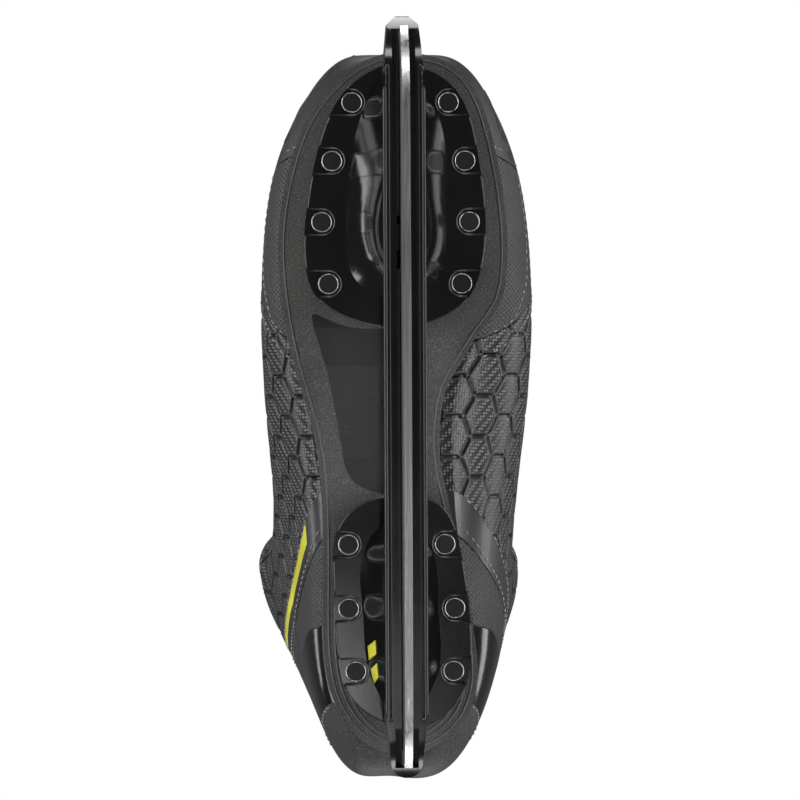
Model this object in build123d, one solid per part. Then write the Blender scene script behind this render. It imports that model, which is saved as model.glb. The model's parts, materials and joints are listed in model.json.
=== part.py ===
from build123d import *
import math
import os

# Right-foot ice hockey skate. Millimetres, +Z up, toe towards -Y, outer (lateral) side towards -X.
# The origin is the lowest point of the steel, where it touches the ice.

# ---- driving dimensions -------------------------------------------------------------------------
STEEL_LENGTH = 284.0        # runner, end to end
STEEL_THICKNESS = 3.0
ROCKER_RADIUS = 3000.0      # lengthwise curve of the running edge
STEEL_TOP = 29.0            # back of the steel, up in the holder's slot
FRONT_SOLE = 56.0           # underside of the outsole over the front cup
HEEL_LIFT = 6.0             # how much higher the heel stands
OUTSOLE_THICKNESS = 4.0
SHELL = 3.2                 # wall of the boot's outer shell
LINING = 2.6                # soft lining inside the shell
RAIL_BOTTOM = 20.0          # underside of the holder's rail
RAIL_TOP = 32.0
RAIL_WIDTH = 16.0
HOLDER_END = 147.0          # the holder reaches this far each way along Y
CUP_THICKNESS = 5.0         # flange of each cup under the outsole
POCKET_DEPTH = 2.6          # rivet pocket in the flange
CHANNEL_HALF = 4.5          # open channel along the holder's underside
SLIP = 0.3                  # gap round parts that move
RUNNING = 0.05              # radial clearance on pins

HEEL_SOLE = FRONT_SOLE + HEEL_LIFT
HALF_STEEL = STEEL_LENGTH / 2
RAMP_START = -27.0          # the sole rises to the heel between these two places
RAMP_END = 39.0

RIVET_R = 2.0
RIVET_HEAD_R = 4.15
RIVET_HEAD = 1.5
POCKET_GAP = 0.9            # from a rivet's head to its pocket's wall
WASHER_R = 4.6
WASHER = 1.0
BOARD = 2.4
FOOTBED = 4.5

BOARD_LOW = OUTSOLE_THICKNESS + SHELL + 1.0      # heights above the sole line
BOARD_HIGH = BOARD_LOW + BOARD
BED_LOW = BOARD_HIGH + WASHER + 0.2
BED_HIGH = BED_LOW + FOOTBED

FRONT_RIVETS = [(-18.9, -114.6), (-26.8, -91.8), (-30.9, -68.0), (-28.4, -43.9),
                (18.6, -114.6), (25.0, -91.8), (26.6, -68.0), (23.5, -43.9)]
REAR_RIVETS = [(-20.9, 58.0), (-20.9, 83.0), (-18.2, 107.6),
               (16.8, 58.0), (20.5, 83.0), (19.9, 107.6)]

# Hinges, all parallel to X, as (y, z)
REAR_HOOK = (118.0, 38.0)
TRIGGER_PIN = (-52.0, 47.0)
TONGUE_HINGE = (-70.0, 116.0)
HOOK_R = 5.0
PIN_R = 1.5
PIN_HALF = 7.5

TONGUE_TOP = 246.0

os.makedirs("parts", exist_ok=True)


# ---- helpers ------------------------------------------------------------------------------------
def save(node, *shapes):
    solids = [solid for shape in shapes for solid in shape.solids()]
    export_step(Compound(children=solids), f"parts/{node}.step")


def closed_curve(points):
    return make_face(Spline(*points, periodic=True))


def polygon(points):
    return make_face(Polyline(*points, close=True))


def plan(face, low, high):
    """A solid with this outline seen from above, between two heights."""
    return extrude(Pos(0, 0, low) * face, amount=high - low)


def side(face, half_width, x=0.0):
    """A solid with this outline seen from the side, the outline's axes being Y and Z."""
    return Pos(x, 0, 0) * extrude(Plane.YZ * face, amount=half_width, both=True)


def side_box(y0, y1, z0, z1, half_width):
    return side(polygon([(y0, z0), (y1, z0), (y1, z1), (y0, z1)]), half_width)


def disc(y, z, radius, half_width, x=0.0):
    return Pos(x, y, z) * Rot(0, 90, 0) * Cylinder(radius, 2 * half_width)


def upright(x, y, radius, low, high):
    return Pos(x, y, (low + high) / 2) * Cylinder(radius, high - low)


def sole_height(y):
    """Underside of the outsole: level at the forefoot and heel, with a smooth ramp between."""
    t = min(max((y - RAMP_START) / (RAMP_END - RAMP_START), 0.0), 1.0)
    return FRONT_SOLE + HEEL_LIFT * t * t * (3 - 2 * t)


SOLE_STATIONS = [-170, -90, RAMP_START, -12, 6, 24, RAMP_END, 100, 180]


def sole_layer(low, high, half_width=80.0):
    """The space between two heights above the sole line."""
    lower = [(y, sole_height(y) + low) for y in SOLE_STATIONS]
    upper = [(y, sole_height(y) + high) for y in reversed(SOLE_STATIONS)]
    return side(polygon(lower + upper), half_width)


# ---- runner -------------------------------------------------------------------------------------
def rocker_point(y):
    return (y, ROCKER_RADIUS - math.sqrt(ROCKER_RADIUS**2 - y * y))


def end_arc(y_start, y_end, radius):
    """Three points of the arc that carries on from the rocker and turns up to the steel's end."""
    y0, z0 = rocker_point(y_start)
    centre_y = y0 * (1 - radius / ROCKER_RADIUS)
    centre_z = z0 + radius * math.sqrt(1 - (y0 / ROCKER_RADIUS) ** 2)
    first = math.asin((y0 - centre_y) / radius)
    last = math.asin((y_end - centre_y) / radius)

    def at(angle):
        return (centre_y + radius * math.sin(angle), centre_z - radius * math.cos(angle))

    return at(first), at((first + last) / 2), at(last)


NOSE_TIP = (-61.5, 40.0)
TANG_REAR = -67.5


def runner():
    front = end_arc(-HALF_STEEL + 32, -HALF_STEEL, 42)
    rear = end_arc(HALF_STEEL - 27, HALF_STEEL, 60)
    outline = [
        ThreePointArc(front[2], front[1], front[0]),
        ThreePointArc(front[0], (0, 0), rear[0]),
        ThreePointArc(*rear),
        Polyline(rear[2], (HALF_STEEL, 17), (HALF_STEEL - 5, STEEL_TOP - 4),
                 (HALF_STEEL - 12, STEEL_TOP), (-HALF_STEEL + 4, STEEL_TOP),
                 (-HALF_STEEL, STEEL_TOP - 6), front[2]),
    ]
    blade = side(make_face(outline), STEEL_THICKNESS / 2)
    hook_y, hook_z = REAR_HOOK
    hook = disc(hook_y, hook_z, HOOK_R, STEEL_THICKNESS / 2)
    neck = side_box(hook_y - 3.2, hook_y + 3.2, STEEL_TOP - 2, hook_z, STEEL_THICKNESS / 2)
    tang = side(polygon([(-80, STEEL_TOP - 2), (-80, 40), (-77.5, 42.5), (-64, 42.5), NOSE_TIP,
                         (TANG_REAR, 33.5), (TANG_REAR, STEEL_TOP - 2)]), STEEL_THICKNESS / 2)
    return blade + hook + neck + tang


# ---- trigger ------------------------------------------------------------------------------------
TRIGGER_HALF = 2.5


def trigger():
    pin_y, pin_z = TRIGGER_PIN
    catch = polygon([(pin_y - 3.2, pin_z + 1), (NOSE_TIP[0] + 2.6, 41.5), (NOSE_TIP[0] + 0.55, 39.9),
                     (TANG_REAR + 0.6, 33.1), (TANG_REAR + 1.2, 32.6), (pin_y - 4.5, 34.0),
                     (pin_y + 2.5, pin_z - 3.0)])
    lever = polygon([(pin_y - 1, pin_z - 3.4), (pin_y + 3.2, pin_z + 0.4), (-40.5, 41.2),
                     (-34.2, 38.9), (-31.6, 36.2), (-33.0, 34.0), (-37.5, 35.2), (-44, 37.6)])
    body = side(catch, TRIGGER_HALF) + side(lever, TRIGGER_HALF)
    body += disc(pin_y, pin_z, 3.6, TRIGGER_HALF)
    return body - disc(pin_y, pin_z, PIN_R + RUNNING, 10)


def trigger_spring():
    """A torsion coil round the pin, beside the trigger, with one leg on the tower's roof."""
    pin_y, pin_z = TRIGGER_PIN
    wire = 0.35
    first_x = TRIGGER_HALF + 0.75
    pitch = 2 * wire + 0.02
    coil = Pos(first_x, pin_y - 2.4, pin_z + 1.2) * Cylinder(wire, 2.4)
    for k in range(4):
        coil += Pos(first_x + pitch * k, pin_y, pin_z) * Rot(0, 90, 0) * Torus(2.4, wire + 0.02)
    return coil


# ---- blade holder -------------------------------------------------------------------------------
def tower_section(z, front, front_half, belly, rear_half, rear):
    """A teardrop outline: (y) front, (y, lateral, medial) at three places, (y) rear."""
    points = [(0, front)]
    for y, lateral, medial in (front_half, belly, rear_half):
        points.append((medial, y))
    points.append((0, rear))
    for y, lateral, medial in (rear_half, belly, front_half):
        points.append((-lateral, y))
    return Pos(0, 0, z) * closed_curve(points)


def front_tower():
    return loft([
        tower_section(29, -138, (-118, 7.5, 7.5), (-80, 8, 8), (-54, 7.2, 7.2), -48),
        tower_section(41, -134, (-115, 10, 9.4), (-74, 13.2, 11.6), (-51, 9.6, 9), -44.5),
        tower_section(FRONT_SOLE - CUP_THICKNESS + 0.5, -129, (-113, 14.5, 13.5), (-66, 22, 18),
                      (-45, 18.5, 14), -38),
    ])


def rear_tower():
    return loft([
        tower_section(29, 46, (56, 6.5, 6.5), (86, 8, 8), (122, 7, 7), 140),
        tower_section(44, 48, (57, 9.5, 8.5), (84, 12, 10.8), (116, 9, 9), 134),
        tower_section(HEEL_SOLE - CUP_THICKNESS + 0.5, 49, (58, 14.2, 10.8), (84, 15.6, 14.2),
                      (111, 12, 13), 124),
    ])


FRONT_CUP = [(0, -130), (10.4, -127.5), (20, -121.5), (26.5, -110.7), (30.1, -95.4), (32.7, -76.7),
             (33, -61), (31, -48.5), (26.4, -38.5), (17.5, -31.6), (4, -27.2), (-10, -27.6),
             (-26.7, -33.7), (-33.6, -39.6), (-37.2, -50), (-37.7, -63), (-36.2, -76.7),
             (-32.4, -95.8), (-27.1, -110.7), (-20.5, -120.5), (-9.5, -128)]
REAR_CUP = [(0, 38.6), (10.1, 40), (17, 44.5), (21, 52.5), (24.6, 70), (26.7, 88), (26.9, 103),
            (24.9, 113.6), (19, 122.6), (10.1, 128.8), (0, 130), (-9, 127), (-17, 121.8),
            (-23, 112.8), (-25.4, 101), (-26.4, 87.6), (-26.7, 70), (-26.4, 56), (-22.4, 47.6),
            (-13.2, 40.8)]


def nose_line():
    """Side outline of the rail, which rises at the front to the nose and sweeps up at the heel."""
    lower_front = ThreePointArc((-HOLDER_END, 37), (-136, 25), (-118, RAIL_BOTTOM))
    bottom = Line((-118, RAIL_BOTTOM), (124, RAIL_BOTTOM))
    lower_rear = ThreePointArc((124, RAIL_BOTTOM), (137, 21.5), (HOLDER_END, 26))
    top = Polyline((HOLDER_END, 26), (HOLDER_END, 31), (138, 39), (122, 41), (60, RAIL_TOP + 6),
                   (44, RAIL_TOP), (-42, RAIL_TOP), (-58, RAIL_TOP + 6), (-124, 46),
                   (-HOLDER_END + 2, 43.5), (-HOLDER_END, 41), (-HOLDER_END, 37))
    return make_face([lower_front, bottom, lower_rear, top])


def rail_plan():
    half = RAIL_WIDTH / 2
    tip = 6.1
    corner = 3.5
    end = HOLDER_END
    return make_face([
        Polyline((tip, -end + corner), (half, -120), (half, 124), (tip + 0.4, 136), (tip, end - 6)),
        ThreePointArc((tip, end - 6), (4.3, end - 1.8), (0, end)),
        ThreePointArc((0, end), (-4.3, end - 1.8), (-tip, end - 6)),
        Polyline((-tip, end - 6), (-tip - 0.4, 136), (-half, 124), (-half, -120), (-tip, -end + corner),
                 (-tip + corner, -end), (tip - corner, -end), (tip, -end + corner)),
    ])


def rivet_pocket(x, y, face):
    """A U-shaped recess round a rivet head, open to the cup's outer edge."""
    radius = RIVET_HEAD_R + POCKET_GAP
    reach = 30.0                # past the cup's edge, wherever the rivet is
    middle = x + math.copysign(reach / 2, x)
    slot = Pos(middle, y, 0) * Rectangle(reach, 2 * radius)
    return plan(slot + Pos(x, y, 0) * Circle(radius), face - 4, face + POCKET_DEPTH)


def cup(outline, sole, rivet_places):
    """The flange of one tower under the outsole, its lower edge broken and its pockets cut."""
    face = sole - CUP_THICKNESS
    flange = plan(closed_curve(outline), face, sole)
    flange = chamfer(flange.faces().sort_by(Axis.Z)[0].edges(), 0.6)
    for x, y in rivet_places:
        flange -= rivet_pocket(x, y, face)
    return flange


# Hollows that lighten the towers, seen from above; the outsole closes them
FRONT_HOLLOW = [(-8, -112), (8, -112), (10, -84), (-11, -84)]
REAR_HOLLOW = [(-7.5, 66), (7.5, 66), (8, 100), (-8, 100)]
HOLLOW_FLOOR = 46


def holder():
    rail = side(nose_line(), RAIL_WIDTH) & plan(rail_plan(), 0, 70)
    body = rail + front_tower() + rear_tower()
    body += cup(FRONT_CUP, FRONT_SOLE, FRONT_RIVETS)
    body += cup(REAR_CUP, HEEL_SOLE, REAR_RIVETS)
    body -= plan(polygon(FRONT_HOLLOW), HOLLOW_FLOOR, FRONT_SOLE + 1)
    body -= plan(polygon(REAR_HOLLOW), HOLLOW_FLOOR, HEEL_SOLE + 1)
    # open channel along the underside, and the slot that grips the steel
    channel = side(polygon([(-HOLDER_END - 5, 30), (-128, 29), (-112, RAIL_BOTTOM + 5),
                            (128, RAIL_BOTTOM + 5), (HOLDER_END - 4, 28), (HOLDER_END - 4, 5),
                            (-HOLDER_END - 5, 5)]), CHANNEL_HALF)
    body -= channel
    slot = STEEL_THICKNESS / 2 + SLIP
    body -= side(polygon([(-HALF_STEEL - 1.2, 5), (-HALF_STEEL - 1.2, STEEL_TOP + SLIP),
                          (100, STEEL_TOP + SLIP), (114, STEEL_TOP + 2.6),
                          (HALF_STEEL + 1, STEEL_TOP + 2.6), (HALF_STEEL + 1, 5)]), slot)
    hook_y, hook_z = REAR_HOOK
    body -= disc(hook_y, hook_z, HOOK_R + SLIP, slot)
    body -= side(polygon([(hook_y - 4.2, 25), (hook_y - 3.6, hook_z), (hook_y + 3.6, hook_z),
                          (hook_y + 4.2, 25)]), slot)
    # room for the front tang, the catch and the finger lever
    trigger_room = TRIGGER_HALF + SLIP + 0.1
    body -= side_box(-82, -56, 24, 44.5, slot)
    body -= side(polygon([(-72, 31), (-72, FRONT_SOLE - 1.5), (-38, FRONT_SOLE - 1.5), (-26, 49),
                          (-26, 33), (-40, 31)]), trigger_room)
    pin_y, pin_z = TRIGGER_PIN
    body -= side_box(pin_y - 17.5, pin_y + 3, RAIL_BOTTOM + 4, 36, trigger_room)
    body -= disc(pin_y, pin_z, 4.4, 2.4, x=TRIGGER_HALF + 2.2)
    body -= disc(pin_y, pin_z, PIN_R, PIN_HALF)
    return body - rivet_holes(45, 80)


def rivets(places, face):
    """Flat-headed rivets: the head sits in its pocket and the shank ends at the washer's top."""
    pocket = face - CUP_THICKNESS + POCKET_DEPTH
    top = face + BOARD_HIGH + WASHER
    rivet_list = []
    for x, y in places:
        head = upright(x, y, RIVET_HEAD_R, pocket - RIVET_HEAD, pocket)
        rivet_list.append(head + upright(x, y, RIVET_R, pocket, top))
    return rivet_list


def washers(places, face):
    low = face + BOARD_HIGH
    return [upright(x, y, WASHER_R, low, low + WASHER) - upright(x, y, RIVET_R, low - 1, low + 2)
            for x, y in places]


def trigger_pin():
    pin_y, pin_z = TRIGGER_PIN
    return disc(pin_y, pin_z, PIN_R, PIN_HALF)


# ---- outsole, board and footbed -----------------------------------------------------------------
OUTSOLE = [(0, -134.5), (10, -133.4), (19.7, -130), (26, -124.6), (31.4, -115.8), (35.6, -103),
           (38.8, -88), (41.2, -70), (41.6, -50), (38.4, -35.5), (30.9, -25), (23.4, -13),
           (17.8, -3), (15.4, 9), (15.6, 27), (18.8, 42), (22.4, 60), (26.2, 80), (29, 98),
           (29.4, 113), (25.5, 125), (17.5, 134.4), (3, 140.5), (-8, 139.4), (-19.2, 131.5),
           (-26.4, 120.5), (-30.1, 106), (-31, 88), (-30.8, 60), (-31.6, 34), (-34, 16),
           (-38.4, 0), (-43, -17), (-46.4, -36), (-48, -58), (-46, -78), (-41.8, -95),
           (-35.2, -110.4), (-27, -120.8), (-18, -128.6), (-9, -133)]


def inset_outline(points, amount):
    """The same outline with each point moved square inwards; the points run toe, medial, heel."""
    moved = []
    for k, (x, y) in enumerate(points):
        before = points[k - 1]
        after = points[(k + 1) % len(points)]
        run_x = after[0] - before[0]
        run_y = after[1] - before[1]
        length = math.hypot(run_x, run_y)
        moved.append((x - amount * run_y / length, y + amount * run_x / length))
    return closed_curve(moved)


def rivet_holes(low, high):
    return [upright(x, y, RIVET_R, low, high) for x, y in FRONT_RIVETS + REAR_RIVETS]


def outsole_and_arch():
    body = plan(closed_curve(OUTSOLE), 40, 90) & sole_layer(0, OUTSOLE_THICKNESS)
    arch = closed_curve([(2, -26), (1, 6), (2, 38), (-12, 37), (-19, 33), (-23.5, 20), (-27, 0),
                         (-32, -20), (-34.5, -32), (-22, -27.5)])
    recess = plan(arch, 40, 90) & sole_layer(-0.5, 1.2)
    body -= recess
    return body, recess & sole_layer(0, 1.2)


# ---- boot form ----------------------------------------------------------------------------------
# Sections that fan round the instep, upright at the toe and level at the ankle. Each one gives the
# underside or back point, the upper or front point, then half-widths: at the lasting edge and low
# on the side (lateral, medial), at the widest place, and near the top.
LAST = [
    ((-134.2, 68), (-134.8, 82), (9, 9), (14, 14), 15, 11),
    ((-130, 62), (-130, 93), (16, 17), (24, 25), 26, 18),
    ((-118, 60), (-117, 102), (28, 28), (34.5, 34), 35.5, 25),
    ((-98, 60), (-96, 109), (39.5, 36), (45, 42), 45, 31),
    ((-66, 60), (-62, 119), (47, 41), (51.5, 47.5), 51.8, 36),
    ((-36, 60.2), (-28, 133), (46, 37), (52, 48.5), 53.3, 38),
    ((-4, 61.5), (6, 150), (38, 22), (48, 44.5), 52.3, 37),
    ((30, 65), (24, 168), (32, 20), (43.5, 42), 50, 38),
    ((72, 66), (35, 185), (30, 26), (40, 41), 48, 42),
    ((114, 67), (40, 195), (28, 28), (39, 40.5), 47, 45),
    ((146, 76), (43, 200), (16, 16), (33, 34), 45.5, 48),
    ((151.5, 98), (45, 204), (13, 13), (30, 30), 45, 51),
    ((145, 136), (46, 208), (12, 12), (29, 29), 45, 51),
    ((137.5, 172), (47, 212), (12, 12), (28, 28), 42, 47),
    ((137, 200), (48, 222), (13, 13), (29, 29), 40, 42),
    ((142, 232), (46, 244), (15, 15), (32, 32), 40, 38),
    ((150, 268), (42, 272), (17, 17), (36, 36), 42, 36),
]
TOE_SHIFT = (1.0, 0.75, 0.35)     # how far an inner form pulls its first sections back from the toe


def last_section(index, inset):
    bottom, top, base, low, wide, high = LAST[index]
    shift = TOE_SHIFT[index] * inset if index < len(TOE_SHIFT) else 0.0
    start = Vector(0, bottom[0] + shift, bottom[1])
    end = Vector(0, top[0] + shift, top[1])
    along = (end - start).normalized()
    start += along * inset
    end -= along * inset

    def at(fraction, x):
        width = math.copysign(max(abs(x) - inset, 2.0), x)
        return start + (end - start) * fraction + Vector(width, 0, 0)

    ring = [start + Vector((base[1] - base[0]) / 2, 0, 0)]
    ring += [at(0.004, base[1]), at(0.2, low[1]), at(0.5, wide), at(0.82, high), end]
    ring += [at(0.82, -high), at(0.5, -wide), at(0.2, -low[0]), at(0.004, -base[0])]
    return Wire([Spline(*ring, periodic=True)])


def boot_form(inset, first=0):
    return Solid.make_loft([last_section(k, inset) for k in range(first, len(LAST))])


def layer(outside, inside):
    """The instep and ankle part of the boot's form between two depths under its surface."""
    return boot_form(outside, first=3) - boot_form(inside, first=3)


COLLAR = [(-200, -50), (200, -50), (200, 192), (137, 190), (118, 185), (92, 181), (68, 187),
          (44, 203), (20, 215), (-200, 215)]
THROAT = [(0, -73), (13, -70), (19.5, -60), (23, -40), (26, -10), (29, 20), (31, 48), (31, 64),
          (-31, 64), (-31, 48), (-29, 20), (-26, -10), (-23, -40), (-19.5, -60), (-13, -70)]
FACING_WIDTH = 15.0
EYELETS = 9                 # on each side


def throat(grow):
    """The lace opening seen from above, grown outwards by this much."""
    points = []
    for x, y in THROAT:
        outward = (x > 0) - (x < 0)
        points.append((x + grow * outward, y - (0.6 if outward else 1.0) * grow))
    return plan(polygon(points), 95, 300)


# Side outlines of the panels, as closed lists of (y, z), from the toe to the heel
TOE_LINE = [(-160, 40), (-101, 40), (-93, 66), (-86, 92), (-74, 128), (-74, 150), (-160, 150)]
FOREFOOT = [(-130, 40), (-16, 40), (-20, 58), (-33, 78), (-46, 93), (-66, 95.5), (-130, 91)]
BAND_FRONT = [(24, 40), (30, 60), (52, 78), (78, 104), (98, 136), (108, 165), (112, 230)]
BAND_REAR = [(122, 230), (120, 165), (111, 134), (92, 100), (66, 74), (46, 60), (40, 40)]
COUNTER = [(84, 40), (112, 40), (117, 62), (127, 82), (140, 99), (165, 108), (165, 136),
           (128, 124), (109, 101), (93, 76)]
HEEL_CUP = [(112, 40), (117, 62), (127, 82), (140, 99), (165, 108), (190, 108), (190, 40)]
BACKSTAY = [(118, 114), (190, 114), (190, 230), (118, 230)]
FACING_ZONE = [(-90, 98), (-40, 104), (-10, 114), (14, 130), (34, 152), (50, 182), (80, 190),
               (80, 240), (-90, 240)]
VENTS = [(-102.0, 73.0), (-94.5, 74.5)]
REAR_ACCENT = [(50, 76), (78, 104), (98, 136), (104, 152), (101, 133), (83, 102), (58, 76)]
FRONT_ACCENT = [(-82, 93.5), (-66, 95.5), (-46, 93), (-43, 89), (-66, 92.2), (-82, 90.5)]
GUARD = [(112, 186.6), (137, 191.2), (165, 191.2), (175, 250), (160, 266), (138, 266), (128, 262),
         (122, 250), (117, 225), (112, 204)]
BINDING = [(110, 183.9), (92, 181), (68, 187), (44, 203), (45, 206), (69, 190), (92, 184.2),
           (110, 187.1)]


def split(body, cutter):
    """Cut a body in two with a closed cutter: what lies inside it, and what is left."""
    return body & cutter, body - cutter


def half_space(sign):
    return Pos(sign * 100, 0, 150) * Box(200, 500, 400)


def upper_panels(shell):
    """Cut the one shell into the panels that meet edge to edge, and return them by name."""
    panels = {}
    facing, rest = split(shell, throat(FACING_WIDTH) & side(polygon(FACING_ZONE), 80))
    panels["toe_cap"], rest = split(rest, side(polygon(TOE_LINE), 80))
    panels["backstay"], rest = split(rest, side(polygon(BACKSTAY), 14))
    band = polygon(BAND_FRONT + BAND_REAR)
    for name, sign in (("lateral", -1), ("medial", 1)):
        half = rest & half_space(sign)
        panels[f"{name}_facing"] = facing & half_space(sign)
        panels[f"{name}_forefoot_panel"], half = split(half, side(polygon(FOREFOOT), 80))
        panels[f"{name}_heel_band"], half = split(half, side(band, 80))
        behind, quarter = split(half, side(polygon(BAND_REAR + [(200, 40), (200, 230)]), 80))
        panels[f"{name}_quarter"] = quarter
        panels[f"{name}_counter"], behind = split(behind, side(polygon(COUNTER), 80))
        panels[f"{name}_heel_cup"], behind = split(behind, side(polygon(HEEL_CUP), 80))
        panels[f"{name}_heel_mesh"] = behind
        vents = [side(Pos(y, z) * Ellipse(2.4, 4.2), 80) & half_space(sign) for y, z in VENTS]
        for k, vent in enumerate(vents):
            plug, panels["toe_cap"] = split(panels["toe_cap"], vent)
            panels[f"{name}_toe_vent"] = plug if k == 0 else panels[f"{name}_toe_vent"] + plug
    panels["heel_cup"] = panels.pop("lateral_heel_cup") + panels.pop("medial_heel_cup")
    rear, panels["lateral_heel_band"] = split(panels["lateral_heel_band"],
                                              side(polygon(REAR_ACCENT), 80))
    front, panels["lateral_forefoot_panel"] = split(panels["lateral_forefoot_panel"],
                                                    side(polygon(FRONT_ACCENT), 80))
    panels["lateral_accent"] = rear + front
    return panels


def eyelet_axes(form, sign):
    """Points up one facing, on its surface, each with the outward direction."""
    axes = []
    for k in range(EYELETS):
        t = k / (EYELETS - 1)
        x = sign * (26.8 + 11 * t)      # half a facing's width outside the throat
        y = -58 + 96 * t
        hits = form.find_intersection_points(Axis(Vector(x, y, 0), Vector(0, 0, 1)))
        point, normal = max(hits, key=lambda hit: hit[0].Z)
        axes.append((point, normal if normal.Z > 0 else normal * -1))
    return axes


EYELET_BORE = 2.1
EYELET_TUBE = 2.9
EYELET_FLANGE = 4.2


def eyelet(point, normal):
    """A flanged ring through the facing, and the round hole that it needs."""
    plane = Plane(origin=point, z_dir=normal)
    tube = Pos(0, 0, (0.5 - SHELL) / 2) * Cylinder(EYELET_TUBE, SHELL + 0.5)
    flange = Pos(0, 0, 0.9) * Cylinder(EYELET_FLANGE, 0.8)
    ring = tube + flange - Cylinder(EYELET_BORE, 20)
    return plane * ring, plane * Cylinder(EYELET_TUBE, 20)


# ---- tongue, guard and padding ------------------------------------------------------------------
TONGUE_GAP = 1.2            # the tongue clears the facings by this much as it swings out
SHIELD_DEPTH = (1.2, 2.7)
FELT_DEPTH = (2.7, 9.0)
TONGUE_LINING_DEPTH = (9.0, 11.0)
GUARD_WALL = 4.2
GUARD_PAD = 5.8             # the soft inner face behind the guard's wall
GUARD_PAD_MARGIN = 3.0      # how far the pad stops short of the guard's edge
ANKLE_PAD = 6.7
ANKLE_PAD_OUTLINE = [(62, 128), (70, 108), (92, 104), (112, 122), (112, 150), (100, 168), (80, 172),
                     (64, 156)]


def tongue_piece(depth, low, top, narrow=0.0):
    """A slice of the tongue between two depths, cut to the throat and to a top edge."""
    window = throat(-TONGUE_GAP - narrow) & side_box(TONGUE_HINGE[0] + 1.5, 70, 90, 300, 60)
    crown = side(polygon([(-90, low), (80, low), (80, top), (-90, top)]), 60)
    return (layer(*depth) & window & crown).solids().sort_by(SortBy.VOLUME)[-1]


def guard_piece(outside, inside, margin=0.0):
    """A slice of the tendon guard between two depths, its outline drawn in by a margin."""
    outline = offset(polygon(GUARD), amount=-margin) if margin else polygon(GUARD)
    return (boot_form(outside, first=3) - boot_form(inside, first=3)) & side(outline, 90)


def ankle_pad(sign):
    outer_depth = SHELL + LINING + SLIP
    outline = closed_curve(ANKLE_PAD_OUTLINE)
    return layer(outer_depth, outer_depth + ANKLE_PAD) & side(outline, 90) & half_space(sign)


# ---- build --------------------------------------------------------------------------------------
sole, arch_plate = outsole_and_arch()
outer = boot_form(0)
inner = boot_form(SHELL)
lined = boot_form(SHELL + LINING)
collar = side(polygon(COLLAR), 90)
opening = throat(0)

board_space = plan(inset_outline(OUTSOLE, 6), 40, 100) & sole_layer(BOARD_LOW, BED_HIGH)
board = board_space & sole_layer(BOARD_LOW, BOARD_HIGH)
bed = plan(inset_outline(OUTSOLE, 8), 40, 100) & sole_layer(BED_LOW, BED_HIGH)

shell = ((outer - inner) & collar) - opening - sole_layer(-20, OUTSOLE_THICKNESS)
washer_space = [upright(x, y, WASHER_R, FRONT_SOLE + BOARD_LOW, HEEL_SOLE + BED_LOW)
                for x, y in FRONT_RIVETS + REAR_RIVETS]
shell = shell - rivet_holes(50, 80) - board_space - washer_space
panels = upper_panels(shell)

liner = ((inner - lined) & collar) - opening - sole_layer(-20, BED_HIGH)

for sign, name in ((-1, "lateral"), (1, "medial")):
    rings = []
    for point, normal in eyelet_axes(outer, sign):
        ring, hole = eyelet(point, normal)
        rings.append(ring)
        panels[f"{name}_facing"] -= hole
        panels[f"{name}_quarter"] -= hole
        liner -= hole
    save(f"{name}_eyelets", *rings)
    save(f"{name}_ankle_pad", ankle_pad(sign))

for name, panel in panels.items():
    save(name, panel)

save("runner", runner())
save("blade_holder", holder())
save("release_trigger", trigger())
save("trigger_pin", trigger_pin())
save("trigger_spring", trigger_spring())
save("front_rivets", *rivets(FRONT_RIVETS, FRONT_SOLE))
save("rear_rivets", *rivets(REAR_RIVETS, HEEL_SOLE))
save("front_washers", *washers(FRONT_RIVETS, FRONT_SOLE))
save("rear_washers", *washers(REAR_RIVETS, HEEL_SOLE))
save("outsole", sole - rivet_holes(50, 80))
save("arch_plate", arch_plate)
save("insole_board", board - rivet_holes(50, 90))
save("footbed", bed)
save("boot_liner", liner)
save("tongue_shield", tongue_piece(SHIELD_DEPTH, 118, TONGUE_TOP - 12, narrow=3.0))
save("tongue_felt", tongue_piece(FELT_DEPTH, 90, TONGUE_TOP))
save("tongue_lining", tongue_piece(TONGUE_LINING_DEPTH, 90, TONGUE_TOP))
save("tendon_guard", guard_piece(0, GUARD_WALL))
save("tendon_pad", guard_piece(GUARD_WALL, GUARD_WALL + GUARD_PAD, margin=GUARD_PAD_MARGIN))
save("collar_binding", ((boot_form(-0.6) - lined) & side(polygon(BINDING), 90)) - opening)
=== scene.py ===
import json
import math

import bmesh
import bpy
import numpy as np
from mathutils import Matrix, Vector
from mathutils.bvhtree import BVHTree

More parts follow.
